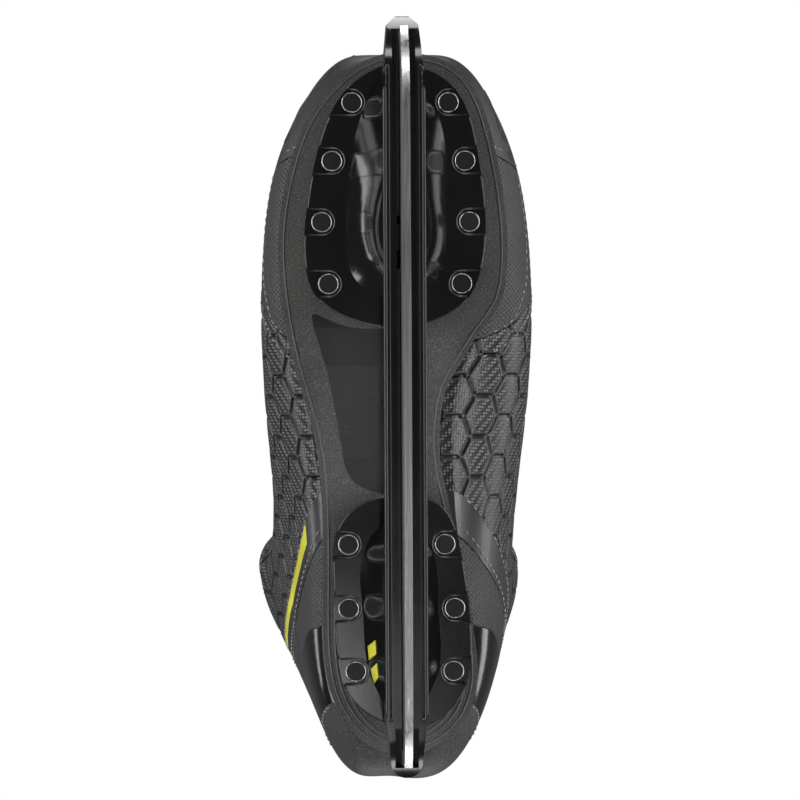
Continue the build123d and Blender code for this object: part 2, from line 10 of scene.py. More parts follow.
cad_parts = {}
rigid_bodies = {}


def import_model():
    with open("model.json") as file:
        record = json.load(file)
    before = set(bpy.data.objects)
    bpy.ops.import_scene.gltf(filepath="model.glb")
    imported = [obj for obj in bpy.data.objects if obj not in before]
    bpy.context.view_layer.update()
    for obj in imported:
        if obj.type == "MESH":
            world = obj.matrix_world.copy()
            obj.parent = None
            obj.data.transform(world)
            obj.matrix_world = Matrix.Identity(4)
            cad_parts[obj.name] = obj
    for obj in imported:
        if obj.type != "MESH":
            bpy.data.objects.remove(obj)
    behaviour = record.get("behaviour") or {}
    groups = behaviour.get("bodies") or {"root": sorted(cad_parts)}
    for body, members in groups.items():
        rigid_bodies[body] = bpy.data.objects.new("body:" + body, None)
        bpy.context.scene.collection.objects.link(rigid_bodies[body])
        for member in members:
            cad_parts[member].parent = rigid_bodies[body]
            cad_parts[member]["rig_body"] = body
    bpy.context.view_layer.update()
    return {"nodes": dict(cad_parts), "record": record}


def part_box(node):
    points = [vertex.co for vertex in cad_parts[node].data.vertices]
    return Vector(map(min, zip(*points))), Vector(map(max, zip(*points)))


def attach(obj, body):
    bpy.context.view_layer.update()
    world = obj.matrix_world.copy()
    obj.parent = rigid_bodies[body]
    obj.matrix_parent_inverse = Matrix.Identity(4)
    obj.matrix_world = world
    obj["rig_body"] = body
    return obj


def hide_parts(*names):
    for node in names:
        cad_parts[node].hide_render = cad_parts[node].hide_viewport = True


# Looks for one right-foot hockey skate. Metres, +Z up, toe towards -Y, lateral side towards -X.

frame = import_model()
nodes = frame["nodes"]
MM = 0.001
SIDES = (("lateral", -1), ("medial", 1))


# ---- camera, stage and light --------------------------------------------------------------------
VIEW_DISTANCE = 1.9                     # straight under the running edge
TARGET = Vector((-3.04 * MM, 1.5 * MM, 0))
TILT = math.radians(2.5)                # the camera stands a little to the lateral side
ROLL = 0.0051                           # the skate is turned this much in the frame
FRAME_WIDTH = 303.7 * MM                # what the frame takes in at the running edge


def make_camera():
    data = bpy.data.cameras.new("camera")
    data.sensor_width = 36
    data.lens = 36 * VIEW_DISTANCE / FRAME_WIDTH
    data.clip_start = 0.05
    data.clip_end = 50
    camera = bpy.data.objects.new("camera", data)
    bpy.context.scene.collection.objects.link(camera)
    back = Vector((-math.sin(TILT), 0, -math.cos(TILT)))
    up = Vector((ROLL, -1, 0))
    right = up.cross(back).normalized()
    up = back.cross(right)
    turn = Matrix((right, up, back)).transposed().to_4x4()
    camera.matrix_world = Matrix.Translation(TARGET + back * VIEW_DISTANCE) @ turn
    bpy.context.scene.camera = camera


def area_light(name, place, width, height, watts, aim=(0, 0, 0.08)):
    data = bpy.data.lights.new(name, "AREA")
    data.shape = "RECTANGLE"
    data.size = width
    data.size_y = height
    data.energy = watts
    light = bpy.data.objects.new(name, data)
    bpy.context.scene.collection.objects.link(light)
    light.location = place
    light.rotation_euler = (Vector(aim) - Vector(place)).to_track_quat("-Z", "Y").to_euler()
    return light


def make_world():
    """White to the camera, and only a weak fill on the skate."""
    world = bpy.data.worlds.new("studio")
    bpy.context.scene.world = world
    world.use_nodes = True
    tree = world.node_tree
    tree.nodes.clear()
    output = tree.nodes.new("ShaderNodeOutputWorld")
    seen = tree.nodes.new("ShaderNodeBackground")
    seen.inputs["Color"].default_value = (1, 1, 1, 1)
    seen.inputs["Strength"].default_value = 1.0
    fill = tree.nodes.new("ShaderNodeBackground")
    fill.inputs["Color"].default_value = (0.96, 0.98, 1, 1)
    fill.inputs["Strength"].default_value = 0.10
    path = tree.nodes.new("ShaderNodeLightPath")
    mix = tree.nodes.new("ShaderNodeMixShader")
    tree.links.new(path.outputs["Is Camera Ray"], mix.inputs[0])
    tree.links.new(fill.outputs[0], mix.inputs[1])
    tree.links.new(seen.outputs[0], mix.inputs[2])
    tree.links.new(mix.outputs[0], output.inputs[0])


FLOOR_HALF = 4.0
FLOOR_DROP = 0.2 * MM
FLOOR_GREY = 0.16
FLOOR_GLOW = 0.68


def make_floor():
    """A pale floor that is only there from above, since the main camera looks up through it."""
    mesh = bpy.data.meshes.new("floor")
    half = FLOOR_HALF
    corners = [(-half, -half, 0), (half, -half, 0), (half, half, 0), (-half, half, 0)]
    mesh.from_pydata(corners, [], [(0, 1, 2, 3)])
    floor = bpy.data.objects.new("floor", mesh)
    bpy.context.scene.collection.objects.link(floor)
    floor.location.z = -FLOOR_DROP
    floor.visible_shadow = False
    floor.visible_glossy = False
    floor.visible_diffuse = False
    paint = bpy.data.materials.new("floor_paint")
    paint.use_nodes = True
    tree = paint.node_tree
    bsdf = tree.nodes["Principled BSDF"]
    bsdf.inputs["Base Color"].default_value = (FLOOR_GREY, FLOOR_GREY, FLOOR_GREY, 1)
    bsdf.inputs["Roughness"].default_value = 0.9
    bsdf.inputs["Specular IOR Level"].default_value = 0.0
    bsdf.inputs["Emission Color"].default_value = (1, 1, 1, 1)
    bsdf.inputs["Emission Strength"].default_value = FLOOR_GLOW
    clear = tree.nodes.new("ShaderNodeBsdfTransparent")
    geometry = tree.nodes.new("ShaderNodeNewGeometry")
    mix = tree.nodes.new("ShaderNodeMixShader")
    tree.links.new(geometry.outputs["Backfacing"], mix.inputs[0])
    tree.links.new(bsdf.outputs[0], mix.inputs[1])
    tree.links.new(clear.outputs[0], mix.inputs[2])
    tree.links.new(mix.outputs[0], tree.nodes["Material Output"].inputs[0])
    mesh.materials.append(paint)


make_camera()
make_world()
make_floor()
bpy.context.scene.view_settings.view_transform = "Standard"
area_light("strip_under_lateral", (-0.60, 0.02, -0.42), 1.2, 0.16, 5.0)
area_light("strip_under_medial", (0.64, 0.0, -0.36), 1.2, 0.16, 5.0)
area_light("low_lateral", (-0.72, 0.0, -0.30), 1.1, 0.08, 1.6)
area_light("low_medial", (0.72, 0.0, -0.30), 1.1, 0.08, 1.6)
area_light("steel_strip", (0.0, 0.5, -1.7), 0.10, 0.7, 1.0)
area_light("toe_under", (0.05, -1.1, -0.7), 0.7, 0.25, 3.5)
area_light("heel_under", (0.0, 1.1, -0.75), 0.7, 0.25, 3.5)
area_light("side_lateral", (-1.2, -0.1, 0.55), 1.3, 0.35, 5.0)
area_light("side_medial", (1.2, -0.1, 0.55), 1.3, 0.35, 5.0)
area_light("behind", (0.2, 1.3, 0.6), 0.8, 0.6, 8.0)
area_light("in_front", (0.0, -1.35, 0.5), 0.8, 0.6, 8.0)
overhead = area_light("overhead", (-0.2, -0.2, 1.3), 1.0, 1.0, 16.0)
overhead.visible_glossy = False         # else it glares along the boot's sides from straight below


# ---- materials ----------------------------------------------------------------------------------
def linear(red, green, blue):
    """A linear colour from everyday 0-255 values."""
    channels = []
    for value in (red, green, blue):
        c = value / 255
        channels.append(c / 12.92 if c <= 0.04045 else ((c + 0.055) / 1.055) ** 2.4)
    return (*channels, 1)


WAVE_RADIANS = 20                   # a wave node turns through this much in one unit at scale 1


class Paint:
    """One procedural material: a Principled shader and short calls for the nodes in front of it."""

    def __init__(self, name, roughness=0.5, metallic=0.0, coat=0.0, sheen=0.0, specular=0.5):
        self.material = bpy.data.materials.new(name)
        self.material.use_nodes = True
        self.tree = self.material.node_tree
        self.bsdf = self.tree.nodes["Principled BSDF"]
        self.set("Roughness", roughness)
        self.set("Metallic", metallic)
        self.set("Coat Weight", coat)
        self.set("Coat Roughness", 0.08)
        self.set("Sheen Weight", sheen)
        self.set("Specular IOR Level", specular)
        self.height = None

    def set(self, socket, value):
        self.bsdf.inputs[socket].default_value = value

    def feed(self, source, target):
        """Links a node's output to the socket, or sets the socket to a plain value."""
        if hasattr(source, "is_output"):
            self.tree.links.new(source, target)
        else:
            target.default_value = source

    def place(self, stretch=(1, 1, 1), turn=0.0, pattern=False):
        """Coordinates in metres: the object's own, or the (u, v) pattern laid over a panel."""
        coords = self.tree.nodes.new("ShaderNodeTexCoord")
        mapping = self.tree.nodes.new("ShaderNodeMapping")
        mapping.inputs["Scale"].default_value = stretch
        mapping.inputs["Rotation"].default_value = (0, 0, turn)
        self.tree.links.new(coords.outputs["UV" if pattern else "Object"], mapping.inputs[0])
        return mapping.outputs[0]

    def noise(self, scale, detail=4, stretch=(1, 1, 1)):
        node = self.tree.nodes.new("ShaderNodeTexNoise")
        self.tree.links.new(self.place(stretch), node.inputs["Vector"])
        node.inputs["Scale"].default_value = scale
        node.inputs["Detail"].default_value = detail
        return node.outputs["Fac"]

    def cells(self, scale, stretch=(1, 1, 1)):
        """How far each place is from the middle of its own round cell."""
        node = self.tree.nodes.new("ShaderNodeTexVoronoi")
        self.tree.links.new(self.place(stretch), node.inputs["Vector"])
        node.inputs["Scale"].default_value = scale
        return node.outputs["Distance"]

    def waves(self, pitch, turn):
        """Straight sine bands this far apart on a panel's pattern, turned by an angle."""
        node = self.tree.nodes.new("ShaderNodeTexWave")
        self.tree.links.new(self.place(turn=turn, pattern=True), node.inputs["Vector"])
        node.inputs["Scale"].default_value = 2 * math.pi / pitch / WAVE_RADIANS
        return node.outputs["Fac"]

    def maths(self, operation, first, second=0.0):
        node = self.tree.nodes.new("ShaderNodeMath")
        node.operation = operation
        self.feed(first, node.inputs[0])
        self.feed(second, node.inputs[1])
        return node.outputs[0]

    def span(self, value, low, high, out_low=0.0, out_high=1.0):
        node = self.tree.nodes.new("ShaderNodeMapRange")
        self.feed(value, node.inputs["Value"])
        node.inputs["From Min"].default_value = low
        node.inputs["From Max"].default_value = high
        node.inputs["To Min"].default_value = out_low
        node.inputs["To Max"].default_value = out_high
        return node.outputs[0]

    def blend(self, factor, first, second):
        node = self.tree.nodes.new("ShaderNodeMix")
        node.data_type = "RGBA"
        self.feed(factor, node.inputs["Factor"])
        colours = [socket for socket in node.inputs if socket.type == "RGBA"]
        self.feed(first, colours[0])
        self.feed(second, colours[1])
        return next(socket for socket in node.outputs if socket.type == "RGBA")

    def colour(self, source):
        self.feed(source, self.bsdf.inputs["Base Color"])
        return self

    def rough(self, value, low, high):
        """Roughness that follows a noise."""
        self.tree.links.new(self.span(value, 0.25, 0.75, low, high), self.bsdf.inputs["Roughness"])
        return self

    def bump(self, height, depth_mm):
        """Adds a fine relief; several calls build on each other."""
        node = self.tree.nodes.new("ShaderNodeBump")
        node.inputs["Distance"].default_value = depth_mm * MM
        self.tree.links.new(height, node.inputs["Height"])
        if self.height is not None:
            self.tree.links.new(self.height, node.inputs["Normal"])
        self.height = node.outputs[0]
        self.tree.links.new(self.height, self.bsdf.inputs["Normal"])
        return self

    def attribute(self, name):
        node = self.tree.nodes.new("ShaderNodeAttribute")
        node.attribute_name = name
        return node.outputs["Fac"]

    def pattern(self):
        """The two pattern coordinates, in metres."""
        split = self.tree.nodes.new("ShaderNodeSeparateXYZ")
        self.tree.links.new(self.place(pattern=True), split.inputs[0])
        return split.outputs[0], split.outputs[1]


def moulded(name, dark, light, roughness=0.4, grain=2500, depth=0.05, coat=0.0, speckle=0.0):
    """Moulded plastic: a fine surface grain, with slow changes of tone and gloss."""
    paint = Paint(name, roughness, coat=coat)
    slow = paint.noise(35, 3)
    fine = paint.noise(grain, 5)
    tone = paint.blend(paint.span(slow, 0.3, 0.7), dark, light)
    if speckle:
        tone = paint.blend(paint.span(fine, 0.5, 0.72, 0, speckle), tone, linear(190, 188, 184))
    paint.colour(tone)
    gloss = paint.maths("ADD", paint.maths("MULTIPLY", slow, 0.6), paint.maths("MULTIPLY", fine, 0.4))
    paint.rough(gloss, roughness - 0.06, roughness + 0.08)
    paint.bump(fine, depth)
    return paint


def brushed(name, dark, light, roughness=0.25, along=(900, 6, 900)):
    """Ground metal, with scratches that run along Y."""
    paint = Paint(name, roughness, metallic=1.0)
    lines = paint.noise(1.0, 3, along)
    broad = paint.noise(1.0, 2, (along[0] / 4, along[1] / 3, along[2] / 4))
    paint.colour(paint.blend(paint.span(lines, 0.3, 0.7), dark, light))
    paint.rough(broad, roughness - 0.08, roughness + 0.14)
    paint.bump(lines, 0.02)
    return paint


def cloth(name, dark, light, pitch_mm=0.9, sheen=0.3, depth=0.12):
    """Knitted fabric: small round loops of thread, with uneven dye."""
    paint = Paint(name, 0.85, sheen=sheen, specular=0.25)
    weave = paint.cells(1 / (pitch_mm * MM))
    uneven = paint.noise(120, 5)
    tone = paint.blend(paint.span(weave, 0.15, 0.8), light, dark)
    paint.colour(paint.blend(paint.span(uneven, 0.35, 0.8, 0, 0.35), tone, dark))
    paint.rough(uneven, 0.78, 0.95)
    paint.bump(weave, -depth)
    paint.bump(paint.noise(1800, 4), 0.04)
    return paint


def hide(name, dark, light, pebble=900, depth=0.12, roughness=0.5):
    """Synthetic leather with a pebbled grain."""
    paint = Paint(name, roughness, specular=0.4)
    pebbles = paint.cells(pebble)
    slow = paint.noise(40, 4)
    tone = paint.blend(paint.span(pebbles, 0.15, 0.75), light, dark)
    paint.colour(paint.blend(paint.span(slow, 0.35, 0.7, 0, 0.4), tone, dark))
    paint.rough(slow, roughness - 0.08, roughness + 0.1)
    paint.bump(pebbles, -depth)
    paint.bump(paint.noise(2600, 4), 0.03)
    return paint


def felt_paint():
    """Pale pressed wool, with short fibres and a few long ones."""
    paint = Paint("felt_paint", 0.95, sheen=0.5, specular=0.15)
    fibres = paint.noise(900, 8)
    long_fibres = paint.noise(1.0, 6, (300, 1200, 500))
    tone = paint.blend(paint.span(fibres, 0.35, 0.68), linear(150, 150, 150), linear(206, 205, 202))
    paint.colour(paint.blend(paint.span(long_fibres, 0.55, 0.75, 0, 0.5), tone, linear(120, 120, 122)))
    paint.bump(fibres, 0.25)
    paint.bump(long_fibres, 0.2)
    return paint


def perforated(name, dark, light, pitch_mm=5.0):
    """Pressed foam with rows of small holes, each painted near-black as painted shade."""
    paint = Paint(name, 0.85, sheen=0.2)
    holes = paint.cells(1000 / pitch_mm, stretch=(1, 1, 0.05))
    tone = paint.blend(paint.span(paint.noise(1500, 4), 0.3, 0.7), dark, light)
    # Painted shade: each hole is coloured near-black.
    paint.colour(paint.blend(paint.span(holes, 0.16, 0.12), tone, linear(10, 10, 10)))
    paint.bump(paint.span(holes, 0.1, 0.2), 0.5)
    paint.bump(paint.noise(1500, 4), 0.08)
    return paint


def side_mesh_paint():
    """Fine diagonal ripstop: crossed threads with a small hole in each square, painted dark as painted shade.
    """
    paint = Paint("side_mesh_paint", 0.5, specular=0.32)
    pitch = 1.5 * MM
    lean = math.radians(38)
    holes = paint.maths("MULTIPLY", paint.waves(pitch, lean), paint.waves(pitch, -lean))
    slow = paint.noise(60, 4)
    # Painted shade: the hole in each square is coloured dark.
    tone = paint.blend(paint.span(holes, 0.2, 0.65), linear(62, 61, 62), linear(18, 18, 18))
    paint.colour(paint.blend(paint.span(slow, 0.4, 0.75, 0, 0.45), tone, linear(40, 40, 41)))
    paint.rough(slow, 0.35, 0.55)
    paint.bump(holes, -0.22)
    paint.bump(paint.noise(2500, 3), 0.03)
    return paint


def carbon_paint():
    """Twill blocks inside each hexagon, with a smooth groove round it painted near-black as painted shade,
    and a lighter band along its rim as a painted highlight.
    """
    paint = Paint("carbon_paint", 0.36, coat=0.06, specular=0.38)
    u, v = paint.pattern()
    block = 1.25 * MM
    across = paint.maths("DIVIDE", u, block)
    up = paint.maths("DIVIDE", v, block)
    step = paint.maths("ADD", paint.maths("FLOOR", across), paint.maths("FLOOR", up))
    over = paint.maths("LESS_THAN", paint.maths("FLOORED_MODULO", step, 4.0), 1.99)
    arch_u = paint.maths("SINE", paint.maths("MULTIPLY", across, math.pi))
    arch_v = paint.maths("SINE", paint.maths("MULTIPLY", up, math.pi))
    weave = paint.maths("ABSOLUTE", paint.maths("MULTIPLY", arch_u, arch_v))
    relief = paint.maths("MULTIPLY", weave, paint.maths("ADD", over, 0.35))
    edge = paint.attribute("edge_mm")
    inside = paint.span(edge, 1.3, 1.7)
    # Painted highlight: a lighter band along the edge of each groove.
    rim = paint.maths("MULTIPLY", paint.span(edge, 0.7, 1.1), paint.span(edge, 1.9, 1.3))
    tow = paint.blend(paint.span(relief, 0.1, 0.9), linear(12, 12, 13), linear(100, 100, 103))
    # Painted shade: the groove is coloured near-black.
    tone = paint.blend(inside, linear(5, 5, 5), tow)
    paint.colour(paint.blend(paint.maths("MULTIPLY", rim, 0.35), tone, linear(96, 96, 98)))
    paint.rough(paint.noise(70, 4), 0.24, 0.42)
    paint.bump(paint.maths("MULTIPLY", relief, inside), 0.12)
    paint.bump(paint.noise(1600, 4), 0.02)
    return paint


PAINTS = {                          # by material slot
    "steel": brushed("steel_paint", (0.36, 0.36, 0.35, 1), (0.64, 0.64, 0.63, 1), 0.3, (2500, 4, 2500)),
    "holder_nylon": moulded("holder_paint", linear(9, 9, 9), linear(14, 14, 14), 0.12, 900, 0.006, 0.3),
    "rivet_black": moulded("rivet_paint", linear(16, 16, 17), linear(30, 30, 31), 0.34, 1400, 0.02),
    "washer_metal": brushed("washer_paint", (0.4, 0.4, 0.4, 1), (0.7, 0.7, 0.7, 1), 0.35, (300, 300, 300)),
    "trigger_plastic": moulded("trigger_paint", linear(28, 28, 30), linear(44, 44, 47), 0.42, 2200, 0.05),
    "spring_steel": brushed("spring_paint", (0.4, 0.4, 0.4, 1), (0.75, 0.75, 0.75, 1), 0.25,
                            (400, 400, 400)),
    "outsole_composite": moulded("outsole_paint", linear(44, 43, 42), linear(58, 57, 55), 0.6, 1500, 0.25,
                                 speckle=0.16),
    "arch_gloss": moulded("arch_paint", linear(20, 19, 19), linear(34, 33, 32), 0.28, 900, 0.03),
    "board_fibre": moulded("board_paint", linear(70, 66, 60), linear(96, 92, 84), 0.8, 900, 0.15),
    "footbed_foam": perforated("footbed_paint", linear(34, 34, 36), linear(60, 60, 64)),
    "toe_plastic": moulded("toe_paint", linear(34, 34, 34), linear(46, 46, 46), 0.5, 1900, 0.06,
                           speckle=0.06),
    "vent_dark": moulded("vent_paint", linear(8, 8, 8), linear(20, 20, 20), 0.6, 1300, 0.3),
    "side_mesh": side_mesh_paint(),
    "quarter_carbon": carbon_paint(),
    "facing_black": hide("facing_paint", linear(18, 18, 19), linear(44, 44, 46)),
    "eyelet_black": moulded("eyelet_paint", linear(20, 20, 21), linear(40, 40, 42), 0.3, 900, 0.02),
    "band_black": moulded("band_paint", linear(28, 28, 29), linear(42, 42, 44), 0.36, 2400, 0.04, 0.15),
    "counter_gloss": moulded("counter_paint", linear(12, 12, 13), linear(20, 20, 22), 0.16, 500, 0.015, 0.25),
    "heel_texture": moulded("heel_paint", linear(34, 34, 34), linear(46, 46, 46), 0.6, 1300, 0.25,
                            speckle=0.12),
    "accent_yellow": moulded("yellow_paint", linear(186, 182, 40), linear(216, 212, 62), 0.35, 1800, 0.03),
    "guard_plastic": moulded("guard_paint", linear(44, 44, 46), linear(58, 58, 60), 0.42, 1600, 0.07),
    "pad_fabric": cloth("pad_paint", linear(26, 26, 28), linear(66, 66, 70), 1.2),
    "lining_fabric": cloth("lining_paint", linear(38, 38, 41), linear(84, 84, 88), 0.8, 0.5),
    "shield_leather": hide("shield_paint", linear(20, 20, 21), linear(48, 48, 50), 700, 0.18),
    "felt": felt_paint(),
}
# Painted highlight: the lips round the rivet pockets and along the cups are the holder's own black nylon,
# painted a lighter grey so they show as lit edges.
LIT_LIP = moulded("lit_lip_paint", linear(44, 44, 46), linear(60, 60, 62), 0.14, 900, 0.01, 0.6)
# Painted highlight: the outsole's ridges are its own composite, painted a lighter grey so they show as lit.
LIT_RIDGE = moulded("lit_ridge_paint", linear(66, 65, 64), linear(84, 83, 81), 0.42, 1800, 0.05)
THREAD = cloth("thread_paint", linear(104, 104, 106), linear(168, 168, 168), 0.3, 0.2, 0.05)
# Painted highlight: a bright metal ring on the edge of each black-painted rivet head, standing in for its
# glint.
BRIGHT_RIM = brushed("rim_paint", (0.35, 0.35, 0.36, 1), (0.7, 0.7, 0.7, 1), 0.28, (500, 500, 500))
SLOT_OF = {part["node"]: part["material_slot"] for part in frame["record"]["subparts"]}


def wear(obj, slot):
    """Gives an object the paint of its material slot."""
    obj.data.materials.clear()
    obj.data.materials.append(PAINTS[slot].material)


# ---- mesh helpers -------------------------------------------------------------------------------
WELD = 0.5e-6                       # metres; corners nearer than this are one corner


def add_object(name, verts, faces):
    """A smooth mesh object in the scene."""
    mesh = bpy.data.meshes.new(name)
    mesh.from_pydata([tuple(v) for v in verts], [], faces)
    mesh.update()
    obj = bpy.data.objects.new(name, mesh)
    bpy.context.scene.collection.objects.link(obj)
    mesh.shade_smooth()
    return obj


def coordinates(obj):
    flat = np.zeros(len(obj.data.vertices) * 3)
    obj.data.vertices.foreach_get("co", flat)
    return flat.reshape(-1, 3)


def normals(obj):
    flat = np.zeros(len(obj.data.vertices) * 3)
    obj.data.vertices.foreach_get("normal", flat)
    return flat.reshape(-1, 3)


def move_to(obj, places):
    obj.data.vertices.foreach_set("co", places.ravel())
    obj.data.update()


def bake_modifiers(obj):
    bpy.context.view_layer.update()
    graph = bpy.context.evaluated_depsgraph_get()
    result = bpy.data.meshes.new_from_object(obj.evaluated_get(graph))
    obj.modifiers.clear()
    obj.data = result


def skin_of(node, name, voxel_mm, smooth=2, inflate_mm=0.0):
    """An even-grained copy of a CAD solid, with its edges softened, that stands for the node."""
    source = nodes[node]
    work = bmesh.new()
    work.from_mesh(source.data)
    bmesh.ops.remove_doubles(work, verts=work.verts, dist=WELD)
    mesh = bpy.data.meshes.new(name)
    work.to_mesh(mesh)
    work.free()
    obj = bpy.data.objects.new(name, mesh)
    bpy.context.scene.collection.objects.link(obj)
    remesh = obj.modifiers.new("even", "REMESH")
    remesh.mode = "VOXEL"
    remesh.voxel_size = voxel_mm * MM
    if smooth:
        soften = obj.modifiers.new("soften", "SMOOTH")
        soften.iterations = smooth
        soften.factor = 0.5
    bake_modifiers(obj)
    if inflate_mm:
        move_to(obj, coordinates(obj) + normals(obj) * inflate_mm * MM)
    obj.data.shade_smooth()
    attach(obj, source["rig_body"])
    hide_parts(node)
    wear(obj, SLOT_OF[node])
    return obj


def surface_of(objects):
    """One search tree over several objects, as a target to lay things on."""
    verts = []
    faces = []
    for obj in objects:
        first = len(verts)
        verts += [v.co.copy() for v in obj.data.vertices]
        faces += [[first + k for k in face.vertices] for face in obj.data.polygons]
    return BVHTree.FromPolygons(verts, faces)


# ---- pattern over the side panels ---------------------------------------------------------------
AXIS_HEIGHT = 0.105         # the boot's side is laid out as if wrapped round this line along Y
AXIS_RADIUS = 0.050
HEX_PITCH = 16.0 * MM       # across the flats, along the boot


def wrap(places):
    """Pattern coordinates on the boot's side: along the boot, and round it."""
    angle = np.arctan2(places[:, 2] - AXIS_HEIGHT, np.abs(places[:, 0]) + 1e-6)
    return np.column_stack([places[:, 1], AXIS_RADIUS * angle])


def outward(places, facing):
    """True where the surface looks away from the boot's middle."""
    away = places.copy()
    away[:, 1] = 0
    away[:, 2] -= AXIS_HEIGHT
    return (away * facing).sum(1) > 0


def hexagon_edges(pattern):
    """How far each point is inside its hexagon, and how far from the nearest corner."""
    row_step = HEX_PITCH * math.sqrt(3) / 2
    best = np.full(len(pattern), np.inf)
    inside = np.zeros(len(pattern))
    corner = np.full(len(pattern), np.inf)
    base_row = np.round(pattern[:, 1] / row_step)
    for shift in (-1, 0, 1):
        row = base_row + shift
        offset = (row % 2) * HEX_PITCH / 2
        column = np.round((pattern[:, 0] - offset) / HEX_PITCH)
        du = pattern[:, 0] - offset - column * HEX_PITCH
        dv = pattern[:, 1] - row * row_step
        reach = np.maximum(np.abs(du), np.abs(du) / 2 + np.abs(dv) * math.sqrt(3) / 2)
        nearer = reach < best
        best = np.where(nearer, reach, best)
        inside = np.where(nearer, HEX_PITCH / 2 - reach, inside)
        radius = HEX_PITCH / math.sqrt(3)
        for k in range(6):
            angle = math.radians(90 + 60 * k)
            gap = np.hypot(du - radius * math.cos(angle), dv - radius * math.sin(angle))
            corner = np.minimum(corner, gap)
    return inside, corner


def set_pattern(obj, pattern, **fields):
    """Stores the pattern as the UV map, in metres, and named numbers on the points."""
    layer = obj.data.uv_layers.new(name="pattern")
    corners = np.zeros(len(obj.data.loops), np.int32)
    obj.data.loops.foreach_get("vertex_index", corners)
    layer.data.foreach_set("uv", pattern[corners].ravel().astype(np.float32))
    for name, values in fields.items():
        field = obj.data.attributes.new(name, "FLOAT", "POINT")
        field.data.foreach_set("value", values.astype(np.float32))


GROOVE_DEPTH = 0.8                  # millimetres, as are the next five
GROOVE_RUN = 0.8
PILLOW_RISE = 0.2
PILLOW_RUN = 5
DOME_RISE = 0.8
DOME_RUN = 1.2


def hexagon_panel(node):
    """Hexagons with a groove round each, a slight pillow inside and a dome at each corner."""
    obj = skin_of(node, f"{node}_skin", 0.62, smooth=1)
    places = coordinates(obj)
    facing = normals(obj)
    pattern = wrap(places)
    inside, corner = hexagon_edges(pattern)
    groove = np.clip(1.25 - inside / (GROOVE_RUN * MM), 0, 1)
    pillow = np.clip(inside / (PILLOW_RUN * MM), 0, 1) ** 0.5
    dome = np.clip(1.2 - corner / (DOME_RUN * MM), 0, 1)
    rise = -GROOVE_DEPTH * groove + PILLOW_RISE * pillow + DOME_RISE * dome
    rise = np.where(outward(places, facing), rise, 0)
    move_to(obj, places + facing * rise[:, None] * MM)
    set_pattern(obj, pattern, edge_mm=inside / MM)


WEAVE_ALONG = 4.2 * MM              # from one rib to the next, along the boot and round it
WEAVE_ROUND = 5.4 * MM
WEAVE_RISE = 0.07


def woven_panel(node):
    """A panel of fine slanted ribs."""
    obj = skin_of(node, f"{node}_skin", 0.7, smooth=1)
    places = coordinates(obj)
    facing = normals(obj)
    pattern = wrap(places)
    turns = pattern[:, 0] * 2 * math.pi / WEAVE_ALONG + pattern[:, 1] * 2 * math.pi / WEAVE_ROUND
    rise = np.where(outward(places, facing), WEAVE_RISE * np.sin(turns), 0)
    move_to(obj, places + facing * rise[:, None] * MM)
    set_pattern(obj, pattern)


# ---- stitches, piping and marks -----------------------------------------------------------------
STITCH = 3.3                        # millimetres from one stitch to the next
STITCH_LENGTH = 2.2 * MM
STITCH_RADIUS = 0.32 * MM
STITCH_LIFT = 0.12 * MM
LONGEST_STEP = 14 * MM              # no stitch where its two neighbours are further apart


def walk(points, pitch):
    """Even steps along a polyline of numpy points."""
    points = np.array(points, float)
    lengths = np.hypot.reduce(np.diff(points, axis=0), axis=1)
    along = np.concatenate([[0], np.cumsum(lengths)])
    steps = np.arange(pitch / 2, along[-1], pitch)
    return np.column_stack([np.interp(steps, along, points[:, k]) for k in range(points.shape[1])])


def capsule(verts, faces, centre, along, up, length, radius, rings=6, sides=6):
    """Adds one rounded rod to the lists."""
    across = along.cross(up).normalized()
    up = across.cross(along).normalized()
    first = len(verts)
    for i in range(rings + 1):
        polar = math.pi * i / rings
        for j in range(sides):
            turn = 2 * math.pi * j / sides
            place = centre - along * (length / 2 * math.cos(polar))
            place += across * (radius * math.sin(polar) * math.cos(turn))
            place += up * (radius * math.sin(polar) * math.sin(turn))
            verts.append(place)
    for i in range(rings):
        for j in range(sides):
            a = first + i * sides + j
            b = first + i * sides + (j + 1) % sides
            faces.append((a, b, b + sides, a + sides))


def side_hits(path, sign, target, reach=0.12):
    """Where points of a side view, in millimetres, fall on the skin, with the skin's normals."""
    hits = []
    for y, z in path:
        start = Vector((sign * reach, y * MM, z * MM))
        place, normal, _, _ = target.ray_cast(start, Vector((-sign, 0, 0)), reach)
        if place is not None:
            hits.append((place, normal if normal.x * sign > 0 else -normal))
    return hits


def stitch_row(name, hits, body="root"):
    """A row of short raised stitches, one at each place, each along the row."""
    verts = []
    faces = []
    for k, (place, normal) in enumerate(hits):
        after = hits[min(k + 1, len(hits) - 1)][0]
        before = hits[max(k - 1, 0)][0]
        along = after - before
        if along.length < 0.1 * MM or along.length > LONGEST_STEP:
            continue
        centre = place + normal * STITCH_LIFT
        capsule(verts, faces, centre, along.normalized(), normal, STITCH_LENGTH, STITCH_RADIUS)
    if not verts:
        return
    obj = add_object(name, verts, faces)
    obj.data.materials.append(THREAD.material)
    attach(obj, body)


